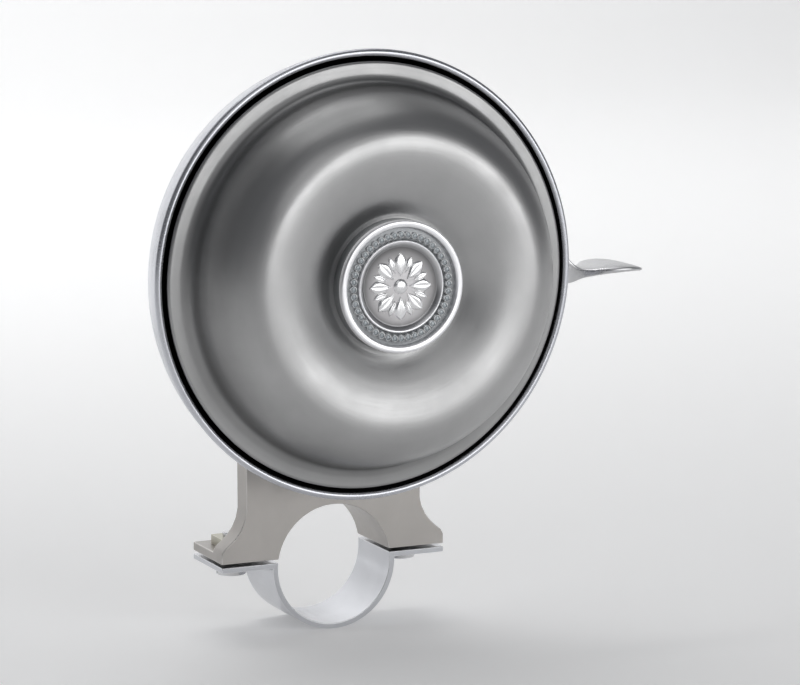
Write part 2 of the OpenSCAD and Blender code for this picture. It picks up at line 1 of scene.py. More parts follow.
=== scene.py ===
"""Looks of the revolving bicycle bell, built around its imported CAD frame."""

import json
import math

import bmesh
import bpy
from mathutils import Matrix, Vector


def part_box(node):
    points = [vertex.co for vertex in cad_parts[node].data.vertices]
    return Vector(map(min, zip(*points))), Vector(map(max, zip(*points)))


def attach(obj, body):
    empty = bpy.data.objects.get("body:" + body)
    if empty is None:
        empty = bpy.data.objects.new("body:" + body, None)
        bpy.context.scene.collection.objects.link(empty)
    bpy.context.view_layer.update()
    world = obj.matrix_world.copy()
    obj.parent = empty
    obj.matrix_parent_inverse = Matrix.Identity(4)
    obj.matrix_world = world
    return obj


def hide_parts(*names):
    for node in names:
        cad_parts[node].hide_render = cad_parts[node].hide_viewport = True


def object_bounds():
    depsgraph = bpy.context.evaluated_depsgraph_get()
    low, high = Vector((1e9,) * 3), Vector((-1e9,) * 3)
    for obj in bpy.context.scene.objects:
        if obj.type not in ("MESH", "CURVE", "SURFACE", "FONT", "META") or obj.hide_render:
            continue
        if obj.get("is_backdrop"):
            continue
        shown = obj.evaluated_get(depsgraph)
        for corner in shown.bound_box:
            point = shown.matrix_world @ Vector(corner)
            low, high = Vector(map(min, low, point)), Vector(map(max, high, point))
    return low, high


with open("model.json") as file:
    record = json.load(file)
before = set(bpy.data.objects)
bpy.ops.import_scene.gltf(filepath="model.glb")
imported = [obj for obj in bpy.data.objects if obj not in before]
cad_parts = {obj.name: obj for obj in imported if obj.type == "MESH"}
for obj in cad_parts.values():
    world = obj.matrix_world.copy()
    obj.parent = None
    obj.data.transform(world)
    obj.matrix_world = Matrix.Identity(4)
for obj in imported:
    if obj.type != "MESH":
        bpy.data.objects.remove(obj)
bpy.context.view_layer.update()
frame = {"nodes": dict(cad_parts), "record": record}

MM = 0.001
SEGMENTS = 256
# edges that turn by more than this many degrees stay sharp
SHARP_DEG = 40

# ---- places taken from the frame ----

shell_low, shell_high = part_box("back_shell")
gong_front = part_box("gong")[0][1]
cap_low, cap_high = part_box("medallion_cap")
lever_low, lever_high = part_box("thumb_lever")
RIM = (shell_high[0] - shell_low[0]) / 2
RISE = (shell_high[2] + shell_low[2]) / 2
REAR = shell_high[1]
CREST = REAR - gong_front
DISH = REAR - cap_high[1]
MEDAL = (cap_high[0] - cap_low[0]) / 2
RING_TOP = REAR - cap_low[1]
PAD_Z = REAR - (lever_low[1] + lever_high[1]) / 2
HALF_PAD = (lever_high[1] - lever_low[1]) / 2

# ---- sizes that the frame's boxes don't give, kept in step with the CAD source ----

STEM = 4.5 * MM
POST_HOLE = 2.5 * MM
SHELL_T = 0.9 * MM
GONG_T = 1.0 * MM
# heights above the shell's rear: the gong's edge, and the rolled rim with its radius
GONG_EDGE_Z = 15.5 * MM
RIM_BEAD_R = 0.7 * MM
RIM_BEAD_Z = 14.6 * MM
# the lugs inside the gong: where they start and how far they reach, in degrees
LUG_STARTS = (38, 218)
LUG_SPAN = 14
LUG_LOW, LUG_HIGH = 18.1 * MM, 20.1 * MM
LUG_INNER, LUG_OUTER = 0.7875 * RIM, 0.825 * RIM
# the shell's slot for the lever
SLOT_LOW, SLOT_HIGH = -15.2 * MM, 2.3 * MM
SLOT_Z = (4.3 * MM, 7.5 * MM)
SLOT_X = (0.75 * RIM, 1.2 * RIM)
# the lever's pivot, its hub round the bush, and half the thickness of its root
PIVOT = (24 * MM, -2 * MM)
HUB_OUTER, HUB_INNER = 4.4 * MM, 2.6 * MM
HALF_ROOT = 1.1 * MM
# the medallion cap: its wall, the collar inside it, and its beads
CAP_WALL = 1 * MM
COLLAR_R = MEDAL - 3.45 * MM
COLLAR_T = 0.65 * MM
COLLAR_Z = DISH + 0.5 * MM
BEAD_COUNT = 44
BEAD_FAR = 0.78 * MEDAL
PETALS = 8
# the return spring's wire, coil, hook, and leg to its anchor
WIRE_R = 0.4 * MM
COIL_R = 2.6 * MM
COIL_LOW = 7.8 * MM
COIL_TURNS = 2.5
HOOK_AT = (29.5 * MM, 0.6 * MM)
HOOK_Z = 5.3 * MM
LEG_Z = 9.4 * MM
LEG_END = (21.4 * MM, -14 * MM)


def bell_point(x, y, z):
    """A point in the bell's own axes (x right, y up, z out of its face) as a world point."""
    return Vector((x, REAR - z, RISE + y))


# ---- lines ----


def smooth_line(points, steps=8):
    """A Catmull-Rom curve through the points."""
    ends = [points[0]] + list(points) + [points[-1]]
    line = []
    for i in range(1, len(ends) - 2):
        p0, p1, p2, p3 = (Vector(ends[i + k]) for k in (-1, 0, 1, 2))
        for k in range(steps):
            t = k / steps
            line.append(
                0.5 * ((2 * p1) + (p2 - p0) * t + (2 * p0 - 5 * p1 + 4 * p2 - p3) * t * t
                       + (3 * p1 - p0 - 3 * p2 + p3) * t ** 3)
            )
    line.append(Vector(points[-1]))
    return line


def shifted(line, d):
    """The line moved sideways by a distance."""
    out = []
    for i, p in enumerate(line):
        t = line[min(i + 1, len(line) - 1)] - line[max(i - 1, 0)]
        out.append(p + d * Vector((t.y, -t.x)) / t.length)
    return out


def arc(centre, r, start, end, steps=8):
    """Points on an arc, angles in degrees."""
    angles = [math.radians(start + (end - start) * k / steps) for k in range(steps + 1)]
    return [Vector((centre[0] + r * math.cos(a), centre[1] + r * math.sin(a))) for a in angles]


# ---- meshes ----


def make_object(name, verts, faces, materials, indices=None, sharp_deg=SHARP_DEG):
    """A mesh object in the scene, cleaned up; indices give each face's material."""
    mesh = bpy.data.meshes.new(name)
    mesh.from_pydata([tuple(v) for v in verts], [], faces)
    if indices:
        mesh.polygons.foreach_set("material_index", indices)
    for m in materials:
        mesh.materials.append(m)
    obj = bpy.data.objects.new(name, mesh)
    bpy.context.scene.collection.objects.link(obj)
    clean_up(obj, sharp_deg)
    return obj


def clean_up(obj, sharp_deg):
    """Joins double points, turns faces outwards and marks edges sharper than an angle."""
    work = bmesh.new()
    work.from_mesh(obj.data)
    bmesh.ops.remove_doubles(work, verts=work.verts, dist=1e-7)
    bmesh.ops.recalc_face_normals(work, faces=work.faces)
    limit = math.radians(sharp_deg)
    for face in work.faces:
        face.smooth = True
    for edge in work.edges:
        edge.smooth = len(edge.link_faces) == 2 and edge.calc_face_angle(0) < limit
    work.to_mesh(obj.data)
    work.free()


def revolve(name, loop, materials, index_of=None, sharp_deg=SHARP_DEG):
    """A closed loop of (radius, height) points turned about the bell's axis."""
    verts, faces, indices = [], [], []
    n = len(loop)
    for i in range(SEGMENTS):
        a = 2 * math.pi * i / SEGMENTS
        verts += [bell_point(p[0] * math.cos(a), p[0] * math.sin(a), p[1]) for p in loop]
    for i in range(SEGMENTS):
        for k in range(n):
            a, b = i * n + k, i * n + (k + 1) % n
            c, d = (i + 1) % SEGMENTS * n + (k + 1) % n, (i + 1) % SEGMENTS * n + k
            faces.append((a, b, c, d))
            indices.append(index_of(k) if index_of else 0)
    return make_object(name, verts, faces, materials, indices, sharp_deg)


def apply_modifiers(obj):
    """Makes the evaluated mesh the object's own, and removes its modifiers."""
    view = bpy.context.evaluated_depsgraph_get()
    mesh = bpy.data.meshes.new_from_object(obj.evaluated_get(view))
    obj.modifiers.clear()
    obj.data = mesh


def softened(node, material, edge_material, width):
    """A copy of a CAD node with its edges rounded and worn bright, standing for that node."""
    source = frame["nodes"][node]
    obj = bpy.data.objects.new(node + "_soft", source.data.copy())
    bpy.context.scene.collection.objects.link(obj)
    obj.data.materials.clear()
    obj.data.materials.append(material)
    obj.data.materials.append(edge_material)
    obj.data.polygons.foreach_set("material_index", [0] * len(obj.data.polygons))
    work = bmesh.new()
    work.from_mesh(obj.data)
    bmesh.ops.remove_doubles(work, verts=work.verts, dist=1e-6)
    bmesh.ops.dissolve_limit(
        work, angle_limit=math.radians(0.5), verts=work.verts, edges=work.edges
    )
    work.to_mesh(obj.data)
    work.free()
    bevel = obj.modifiers.new("round", "BEVEL")
    bevel.width = width
    bevel.segments = 3
    bevel.limit_method = "ANGLE"
    bevel.angle_limit = math.radians(35)
    bevel.use_clamp_overlap = True
    bevel.material = 1
    apply_modifiers(obj)
    clean_up(obj, SHARP_DEG)
    flat_faces = obj.modifiers.new("flat_faces", "WEIGHTED_NORMAL")
    flat_faces.keep_sharp = True
    flat_faces.weight = 100
    apply_modifiers(obj)
    return obj


# ---- materials ----


def node_tree(name):
    """A new material, its nodes, and its shader."""
    material = bpy.data.materials.new(name)
    material.use_nodes = True
    tree = material.node_tree
    return material, tree, tree.nodes["Principled BSDF"]


def add(tree, kind, **values):
    """A node with some of its inputs and settings set."""
    node = tree.nodes.new(kind)
    for key, value in values.items():
        if key in node.inputs:
            node.inputs[key].default_value = value
        else:
            setattr(node, key, value)
    return node


def noise(tree, vector, scale, detail=4):
    """A noise value, from about 0.3 to 0.7."""
    node = add(tree, "ShaderNodeTexNoise")
    node.inputs["Scale"].default_value = scale
    node.inputs["Detail"].default_value = detail
    node.inputs["Roughness"].default_value = 0.55
    tree.links.new(vector, node.inputs["Vector"])
    return node.outputs["Fac"]


def spread(tree, value, low, high, start=0.3, end=0.7):
    """A value from start to end mapped to low to high."""
    node = add(tree, "ShaderNodeMapRange")
    node.inputs["From Min"].default_value = start
    node.inputs["From Max"].default_value = end
    node.inputs["To Min"].default_value = low
    node.inputs["To Max"].default_value = high
    tree.links.new(value, node.inputs["Value"])
    return node.outputs["Result"]


def calc(tree, operation, a, b=None):
    """One step of arithmetic on sockets or numbers."""
    node = add(tree, "ShaderNodeMath", operation=operation)
    for socket, value in zip(node.inputs, (a, b)):
        if hasattr(value, "is_linked"):
            tree.links.new(value, socket)
        elif value is not None:
            socket.default_value = value
    return node.outputs[0]


def mixed(tree, factor, a, b):
    """Two colours mixed by a factor."""
    node = add(tree, "ShaderNodeMix", data_type="RGBA")
    tree.links.new(factor, node.inputs["Factor"])
    for socket, value in zip((node.inputs[6], node.inputs[7]), (a, b)):
        if hasattr(value, "is_linked"):
            tree.links.new(value, socket)
        else:
            socket.default_value = (*value, 1)
    return node.outputs[2]


def bell_axes(tree):
    """Object coordinates, and the bell's own x, y and z."""
    place = add(tree, "ShaderNodeTexCoord").outputs["Object"]
    split = add(tree, "ShaderNodeSeparateXYZ")
    tree.links.new(place, split.inputs[0])
    x, y, z = split.outputs
    return place, x, calc(tree, "SUBTRACT", z, RISE), y


def from_axis(tree):
    """The distance from the bell's axis."""
    x, up = bell_axes(tree)[1:3]
    return calc(tree, "SQRT", calc(tree, "ADD", calc(tree, "MULTIPLY", x, x),
                                   calc(tree, "MULTIPLY", up, up)))


# how much the turning marks change on the way round, in metres of noise space
ROUND_DRIFT = 0.0006
# scales of the noises that every metal shares
CLOUD_SCALE = 90
SPECK_SCALE = 4200
# how bright a stain is, and how much brighter a worn edge, as shares of the colour
STAINED = 0.9
WORN = 1.15
RELIEF_DEPTH = 0.2 * MM


def spun_coordinates(tree):
    """Coordinates that run with the turning marks: the way out and back, and a slow turn."""
    place, x, up, y = bell_axes(tree)
    radius = from_axis(tree)
    join = add(tree, "ShaderNodeCombineXYZ")
    tree.links.new(calc(tree, "ADD", radius, y), join.inputs[0])
    for source, socket in ((x, join.inputs[1]), (up, join.inputs[2])):
        share = calc(tree, "DIVIDE", source, calc(tree, "MAXIMUM", radius, MM))
        tree.links.new(calc(tree, "MULTIPLY", share, ROUND_DRIFT), socket)
    return place, join.outputs[0]


def long_coordinates(tree, stretch):
    """Object coordinates stretched so that noise turns into fine lines."""
    place = add(tree, "ShaderNodeTexCoord").outputs["Object"]
    mapping = add(tree, "ShaderNodeMapping")
    mapping.inputs["Scale"].default_value = stretch
    tree.links.new(place, mapping.inputs["Vector"])
    return place, mapping.outputs[0]


def painted_shade_rings(tree, shade_tones):
    """Painted shade: grey levels that run out from the bell's axis, given as (share of RIM, level)
    stops.
    """
    radius = calc(tree, "DIVIDE", from_axis(tree), RIM)
    ramp = add(tree, "ShaderNodeValToRGB")
    stops = ramp.color_ramp.elements
    ramp.color_ramp.interpolation = "B_SPLINE"
    while len(stops) < len(shade_tones):
        stops.new(0.5)
    for stop, (share, level) in zip(stops, shade_tones):
        stop.position = share
        stop.color = (level, level, level, 1)
    tree.links.new(radius, ramp.inputs["Fac"])
    return ramp.outputs["Color"]


def metal(name, colour, rough, lines="spun", line_scale=9000, marks=0.04, bump=0.02,
          stretch=(1, 1, 14), shade_tones=None, edge_wear=False):
    """A metal with tool marks, faint stains and fine specks, brighter worn edges if asked, and
    painted shade in rings round the bell's axis if shade_tones are given.
    """
    material, tree, shader = node_tree(name)
    if lines == "spun":
        place, along = spun_coordinates(tree)
    else:
        place, along = long_coordinates(tree, stretch)
    shader.inputs["Metallic"].default_value = 1.0
    fine = calc(tree, "ADD", calc(tree, "MULTIPLY", noise(tree, along, line_scale, detail=3), 0.5),
                calc(tree, "MULTIPLY", noise(tree, along, line_scale * 0.2, detail=3), 0.5))
    cloud = noise(tree, place, CLOUD_SCALE, detail=5)
    speck = noise(tree, place, SPECK_SCALE, detail=2)
    dull = tuple(c * STAINED for c in colour)
    finish = mixed(tree, spread(tree, cloud, 0, 1, 0.35, 0.7), colour, dull)
    if edge_wear:
        geometry = add(tree, "ShaderNodeNewGeometry")
        edge = spread(tree, geometry.outputs["Pointiness"], 0, 1, 0.52, 0.60)
        finish = mixed(tree, edge, finish, tuple(min(1, c * WORN) for c in colour))
    # painted shade: the colour is multiplied by grey rings round the bell's axis
    if shade_tones:
        product = add(tree, "ShaderNodeMix", data_type="RGBA", blend_type="MULTIPLY")
        product.inputs["Factor"].default_value = 1.0
        tree.links.new(finish, product.inputs[6])
        tree.links.new(painted_shade_rings(tree, shade_tones), product.inputs[7])
        finish = product.outputs[2]
    tree.links.new(finish, shader.inputs["Base Color"])
    rough_sum = calc(tree, "ADD", spread(tree, fine, rough - marks, rough + marks),
                     spread(tree, cloud, -0.02, 0.05, 0.4, 0.75))
    tree.links.new(calc(tree, "ADD", rough_sum, spread(tree, speck, -0.02, 0.02)),
                   shader.inputs["Roughness"])
    relief = add(tree, "ShaderNodeBump")
    relief.inputs["Strength"].default_value = bump
    relief.inputs["Distance"].default_value = RELIEF_DEPTH
    tree.links.new(calc(tree, "ADD", fine, calc(tree, "MULTIPLY", speck, 0.4)),
                   relief.inputs["Height"])
    tree.links.new(relief.outputs["Normal"], shader.inputs["Normal"])
    return material


def black_paint(name, rough=0.55):
    """Matt black paint with orange-peel grain and faint dust."""
    material, tree, shader = node_tree(name)
    place = add(tree, "ShaderNodeTexCoord").outputs["Object"]
    peel = noise(tree, place, 1400, detail=3)
    dust = noise(tree, place, 260, detail=6)
    black, grey = (0.012, 0.012, 0.013), (0.024, 0.024, 0.025)
    tree.links.new(mixed(tree, spread(tree, dust, 0, 1, 0.5, 0.8), black, grey),
                   shader.inputs["Base Color"])
    tree.links.new(spread(tree, peel, rough - 0.08, rough + 0.08), shader.inputs["Roughness"])
    relief = add(tree, "ShaderNodeBump")
    relief.inputs["Strength"].default_value = 0.12
    relief.inputs["Distance"].default_value = RELIEF_DEPTH
    tree.links.new(peel, relief.inputs["Height"])
    tree.links.new(relief.outputs["Normal"], shader.inputs["Normal"])
    return material


def on_medallion(shade_tones):
    """Painted shade stops, given as shares of the medallion's radius."""
    return [(share * MEDAL / RIM, level) for share, level in shade_tones]


# painted shade: darker by the medallion and in the steep wall
GONG_PAINTED_SHADE = [(0.28, 0.70), (0.37, 0.97), (0.50, 1.0), (0.62, 0.97), (0.70, 1.0),
              (0.76, 0.84), (0.83, 0.42), (0.87, 0.66), (0.93, 0.80)]
satin_gong = metal("satin_gong", (0.50, 0.50, 0.50), 0.36, marks=0.045, bump=0.07,
                   shade_tones=GONG_PAINTED_SHADE)
bright_shell = metal("bright_shell", (0.64, 0.65, 0.69), 0.26, marks=0.03)
black_inside = black_paint("black_inside")
bright_medal = metal("bright_medal", (0.90, 0.91, 0.93), 0.18, marks=0.02, bump=0.01)
grey_channel = metal("grey_channel", (0.30, 0.31, 0.32), 0.42, marks=0.05, bump=0.06)
# painted shade: the sunk disc darkens towards its edge and is lightest in the middle
grey_disc = metal("grey_disc", (0.62, 0.61, 0.62), 0.40, lines="cast", line_scale=2600,
                  stretch=(1, 1, 1), bump=0.12,
                  shade_tones=on_medallion([(0.0, 1.0), (0.36, 0.85), (0.52, 0.5), (0.60, 0.22)]))
bead_edge = metal("bead_edge", (0.92, 0.94, 0.95), 0.30, lines="cast", line_scale=3000,
                  stretch=(1, 1, 1), edge_wear=True)
bead_middle = metal("bead_middle", (0.42, 0.45, 0.47), 0.42, lines="cast", line_scale=3000,
                    stretch=(1, 1, 1))
white_ring = metal("white_ring", (0.94, 0.94, 0.96), 0.34, marks=0.03)
# painted shade: the step darkens towards its foot
step_metal = metal("step_metal", (0.92, 0.92, 0.94), 0.30, marks=0.02,
                   shade_tones=on_medallion([(0.59, 0.25), (0.63, 0.55), (0.67, 0.95), (0.70, 1.0)]))
rosette_metal = metal("rosette_metal", (0.93, 0.93, 0.94), 0.24, lines="cast",
                      line_scale=3000, stretch=(1, 1, 1), edge_wear=True)
lever_metal = metal("lever_metal", (0.66, 0.66, 0.67), 0.27, lines="long", line_scale=1600,
                    stretch=(0.08, 1, 1), bump=0.03)
bracket_metal = metal("bracket_metal", (0.46, 0.44, 0.42), 0.36, lines="long",
                      line_scale=1800, stretch=(1, 1, 0.06), bump=0.06)
strap_metal = metal("strap_metal", (0.66, 0.67, 0.70), 0.22, lines="long",
                    line_scale=1800, stretch=(1, 0.06, 1))
screw_metal = metal("screw_metal", (0.70, 0.70, 0.71), 0.24, lines="cast",
                    line_scale=2600, stretch=(1, 1, 1))
zinc_metal = metal("zinc_metal", (0.56, 0.54, 0.46), 0.36, lines="cast", line_scale=2000,
                   stretch=(1, 1, 1), bump=0.08)
plain_steel = metal("plain_steel", (0.56, 0.56, 0.57), 0.34, line_scale=7000)
dark_steel = metal("dark_steel", (0.30, 0.30, 0.31), 0.38, lines="cast", line_scale=2000,
                   stretch=(1, 1, 1))
gear_brass = metal("gear_brass", (0.76, 0.56, 0.24), 0.30, line_scale=7000)
bracket_edge = metal("bracket_edge", (0.64, 0.62, 0.60), 0.30, lines="cast", line_scale=2000,
                     stretch=(1, 1, 1), bump=0.04)
strap_edge = metal("strap_edge", (0.80, 0.81, 0.83), 0.24, lines="cast", line_scale=2000,
                   stretch=(1, 1, 1))
zinc_edge = metal("zinc_edge", (0.70, 0.68, 0.60), 0.30, lines="cast", line_scale=2000,
                  stretch=(1, 1, 1))
steel_edge = metal("steel_edge", (0.70, 0.70, 0.71), 0.28, lines="cast", line_scale=2000,
                   stretch=(1, 1, 1))
washer_black = black_paint("washer_black", rough=0.7)

SLOT_MATERIALS = {
    "bracket_zinc": bracket_metal,
    "strap_chrome": strap_metal,
    "screw_steel": screw_metal,
    "nut_steel": zinc_metal,
    "shell_chrome": bright_shell,
    "black_plate": black_inside,
    "rivet_steel": plain_steel,
    "shaft_steel": plain_steel,
    "spring_steel": dark_steel,
    "lever_chrome": lever_metal,
    "gear_brass": gear_brass,
    "bar_steel": plain_steel,
    "striker_steel": dark_steel,
    "gong_satin": satin_gong,
    "washer_fibre": washer_black,
    "medallion_chrome": bright_medal,
}
for part in frame["record"]["subparts"]:
    shown = frame["nodes"][part["node"]]
    shown.data.materials.clear()
    shown.data.materials.append(SLOT_MATERIALS[part["material_slot"]])

BODY_OF = {n: b for b, ns in frame["record"]["behaviour"]["bodies"].items() for n in ns}
SLOT_OF = {part["node"]: part["material_slot"] for part in frame["record"]["subparts"]}


def finish_piece(obj, node):
    """Rides a piece on its node's body."""
    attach(obj, BODY_OF[node])


# ---- gong ----


def lift(k):
    """A height from the dish (0) to the crest (1)."""
    return DISH + k * (CREST - DISH)


def gong():
    """The gong, satin outside and black inside, with a rounded lip."""
    edge = GONG_EDGE_Z
    shares = [(0.935, edge), (0.910, edge + 0.08 * MM), (0.885, edge + 0.25 * MM),
              (0.862, edge + 0.8 * MM), (0.848, edge + 1.9 * MM), (0.836, edge + 3.9 * MM),
              (0.818, edge + 6.5 * MM), (0.79, lift(-0.43)), (0.75, lift(0.22)),
              (0.70, lift(0.70)), (0.655, lift(0.93)), (0.61, lift(1)), (0.56, lift(0.96)),
              (0.50, lift(0.82)), (0.44, lift(0.60)), (0.385, lift(0.35)),
              (0.34, lift(0.12)), (0.315, lift(0.02)), (0.30, lift(0)), (0.29, lift(0))]
    outer = smooth_line([(r * RIM, z) for r, z in shares])
    outer = [Vector((p.x, min(p.y, CREST))) for p in outer]
    inner = shifted(outer, -GONG_T)
    middle = (outer[0] + inner[0]) / 2
    lip = arc(middle, GONG_T / 2, -83, 83, 6)[1:-1]
    hole = [Vector((STEM, DISH)), Vector((STEM, DISH - GONG_T))]
    loop = lip + outer + hole + inner[::-1]
    inside_from = len(lip) + len(outer) + 1
    obj = revolve("gong_satin", loop, [satin_gong, black_inside],
                  lambda k: 1 if k >= inside_from else 0)
    finish_piece(obj, "gong")
    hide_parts("gong")


def lugs():
    """The two lugs inside the gong that the strikers catch."""
    verts, faces = [], []
    steps = 8
    bevel, rounding = 0.2 * MM, 0.3 * MM
    for start in LUG_STARTS:
        first = len(verts)
        for k in range(steps + 1):
            a = math.radians(start + LUG_SPAN * k / steps)
            near = LUG_INNER + abs(2 * k / steps - 1) ** 3 * rounding
            for r, z in ((near, LUG_LOW + bevel), (LUG_OUTER, LUG_LOW), (LUG_OUTER, LUG_HIGH),
                         (near, LUG_HIGH - bevel)):
                verts.append(bell_point(r * math.cos(a), r * math.sin(a), z))
        for k in range(steps):
            for s in range(4):
                a, b = first + 4 * k + s, first + 4 * k + (s + 1) % 4
                faces.append((a, b, b + 4, a + 4))
        faces.append(tuple(first + s for s in (3, 2, 1, 0)))
        faces.append(tuple(first + 4 * steps + s for s in range(4)))
    obj = make_object("gong_lugs", verts, faces, [plain_steel])
    finish_piece(obj, "gong")


# ---- back shell ----


def back_shell():
    """The back shell with its rolled rim, black inside, and the lever's slot."""
    shares = [(0.60, 0), (0.68, 0), (0.72, 0.05), (0.7875, 0.5), (0.865, 1.9),
              (0.925, 4.4), (0.9625, 7.6), (0.983, 11), (0.99, 13.6)]
    outer = smooth_line([(r * RIM, z * MM) for r, z in shares])
    outer = [Vector((p.x, max(p.y, 0))) for p in outer]
    bead = arc((RIM - RIM_BEAD_R, RIM_BEAD_Z), RIM_BEAD_R, -60, 190, 20)
    inner = shifted(outer, -SHELL_T)
    hole = [Vector((POST_HOLE, SHELL_T)), Vector((POST_HOLE, 0))]
    loop = outer + bead + inner[::-1] + hole
    inside_from = len(outer) + len(bead)
    obj = revolve("back_shell_bright", loop, [bright_shell, black_inside],
                  lambda k: 1 if inside_from - 1 <= k < len(loop) - 2 else 0)
    cutter = slot_cutter()
    cut = obj.modifiers.new("slot", "BOOLEAN")
    cut.operation = "DIFFERENCE"
    cut.solver = "EXACT"
    cut.object = cutter
    apply_modifiers(obj)
    bpy.data.objects.remove(cutter)
    clean_up(obj, SHARP_DEG)
    finish_piece(obj, "back_shell")
    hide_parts("back_shell")


def slot_cutter():
    """A long block with rounded ends, in the lever's way through the shell's side."""
    z1, z2 = SLOT_Z
    r = (z2 - z1) / 2
    turns = [math.radians(a) for a in range(0, 181, 15)]
    section = [(SLOT_HIGH - r + r * math.sin(a), (z1 + z2) / 2 + r * math.cos(a)) for a in turns]
    section += [(SLOT_LOW + r - r * math.sin(a), (z1 + z2) / 2 - r * math.cos(a)) for a in turns]
    verts = [bell_point(x, y, z) for x in SLOT_X for y, z in section]
    n = len(section)
    faces = [tuple(range(n)), tuple(range(2 * n - 1, n - 1, -1))]
    faces += [(k, k + n, (k + 1) % n + n, (k + 1) % n) for k in range(n)]
    return make_object("slot_cutter", verts, faces, [black_inside])


# ---- medallion ----


def medallion():
    """The cap: white ring, grey channel with beads, curved step, sunk disc and rosette."""
    top = RING_TOP
    floor = top - 1.0 * MM
    disc = floor - 0.05 * MM
    ceiling = floor - 0.5 * MM
    ring = smooth_line([(MEDAL, top - 1.0 * MM), (MEDAL, top - 0.6 * MM),
                        (0.996 * MEDAL, top - 0.26 * MM), (0.985 * MEDAL, top - 0.07 * MM),
                        (0.965 * MEDAL, top), (0.935 * MEDAL, top - 0.01 * MM),
                        (0.908 * MEDAL, top - 0.08 * MM), (0.894 * MEDAL, top - 0.3 * MM),
                        (0.887 * MEDAL, floor + 0.2 * MM), (0.880 * MEDAL, floor)], 5)
    channel = [Vector((0.87 * MEDAL, floor)), Vector((0.712 * MEDAL, floor))]
    step = smooth_line([(0.703 * MEDAL, floor + 0.12 * MM), (0.695 * MEDAL, floor + 0.38 * MM),
                        (0.682 * MEDAL, floor + 0.50 * MM), (0.665 * MEDAL, floor + 0.47 * MM),
                        (0.645 * MEDAL, floor + 0.34 * MM), (0.625 * MEDAL, floor + 0.17 * MM),
                        (0.608 * MEDAL, floor + 0.02 * MM), (0.59 * MEDAL, disc)], 5)
    face = [Vector((0.3 * MEDAL, disc + 0.05 * MM)), Vector((0, disc + 0.08 * MM))]
    under = [Vector((0, ceiling)), Vector((COLLAR_R, ceiling)), Vector((COLLAR_R, COLLAR_Z)),
             Vector((COLLAR_R + COLLAR_T, COLLAR_Z)), Vector((COLLAR_R + COLLAR_T, ceiling)),
             Vector((MEDAL - CAP_WALL, ceiling - 0.2 * MM)), Vector((MEDAL - CAP_WALL, DISH)),
             Vector((MEDAL, DISH))]
    loop = ring + channel + step + face + under
    marks = (len(ring), len(ring) + len(channel), len(ring) + len(channel) + len(step) - 1)

    def index_of(k):
        if k < marks[0] - 2:
            return 0
        if k < marks[1]:
            return 1
        if k < marks[2]:
            return 2
        return 3 if k < marks[2] + 3 else 1

    obj = revolve("medallion_ring", loop, [white_ring, grey_channel, step_metal, grey_disc],
                  index_of, 50)
    beads = bead_border(floor)
    flower = rosette(disc)
    for piece in (obj, beads, flower):
        finish_piece(piece, "medallion_cap")
        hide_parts("medallion_cap")


def turned_spot(centre_x, centre_y, profile, spokes, verts, faces):
    """Adds a small turned shape: (radius, height) points from its foot to its tip."""
    first = len(verts)
    rings = len(profile) - 1
    for r, z in profile[:-1]:
        for k in range(spokes):
            a = 2 * math.pi * k / spokes
            verts.append(bell_point(centre_x + r * math.cos(a), centre_y + r * math.sin(a), z))
    verts.append(bell_point(centre_x, centre_y, profile[-1][1]))
    tip = len(verts) - 1
    for i in range(rings - 1):
        for k in range(spokes):
            a, b = first + i * spokes + k, first + i * spokes + (k + 1) % spokes
            faces.append((a, b, b + spokes, a + spokes))
    for k in range(spokes):
        a = first + (rings - 1) * spokes
        faces.append((a + k, a + (k + 1) % spokes, tip))
    faces.append(tuple(first + k for k in range(spokes - 1, -1, -1)))


def dome(centre_x, centre_y, base, radius, height, rings, spokes, verts, faces):
    """Adds a dome standing on a surface."""
    angles = [0.5 * math.pi * i / rings for i in range(rings + 1)]
    profile = [(radius * math.cos(a), base + height * math.sin(a)) for a in angles]
    turned_spot(centre_x, centre_y, profile, spokes, verts, faces)


# a bead's section: share of its radius, height
BEAD_SECTION = [(1.0, -0.1), (1.0, 0.28), (0.96, 0.46), (0.88, 0.56), (0.79, 0.54),
                (0.70, 0.42), (0.60, 0.36), (0.40, 0.42), (0.20, 0.47), (0.0, 0.48)]
# how many of its bands are the bright edge
BEAD_WALL = 5


def bead_border(floor):
    """Beads with a bright raised edge round a greyer middle."""
    verts, faces, indices = [], [], []
    bead_r = 0.0553 * MEDAL
    spokes = 20
    profile = [(share * bead_r, floor + z * MM) for share, z in BEAD_SECTION]
    for i in range(BEAD_COUNT):
        a = 2 * math.pi * i / BEAD_COUNT
        turned_spot(BEAD_FAR * math.cos(a), BEAD_FAR * math.sin(a), profile, spokes,
                    verts, faces)
        indices += [0] * (BEAD_WALL * spokes)
        indices += [1] * ((len(profile) - 1 - BEAD_WALL) * spokes) + [0]
    return make_object("medallion_beads", verts, faces, [bead_edge, bead_middle], indices,
                       sharp_deg=60)


def rosette(disc):
    """Eight round-backed petals, eight leaves between them, and a button in the middle."""
    verts, faces = [], []
    for i in range(PETALS):
        petal(2 * math.pi * i / PETALS, 0.15 * MEDAL, 0.50 * MEDAL, 0.105 * MEDAL, 0.42 * MM,
              disc, verts, faces)
        petal(2 * math.pi * (i + 0.5) / PETALS, 0.22 * MEDAL, 0.47 * MEDAL, 0.055 * MEDAL,
              0.34 * MM, disc, verts, faces)
    dome(0, 0, disc, 0.115 * MEDAL, 0.5 * MM, 8, 32, verts, faces)
    return make_object("medallion_rosette", verts, faces, [rosette_metal], sharp_deg=60)


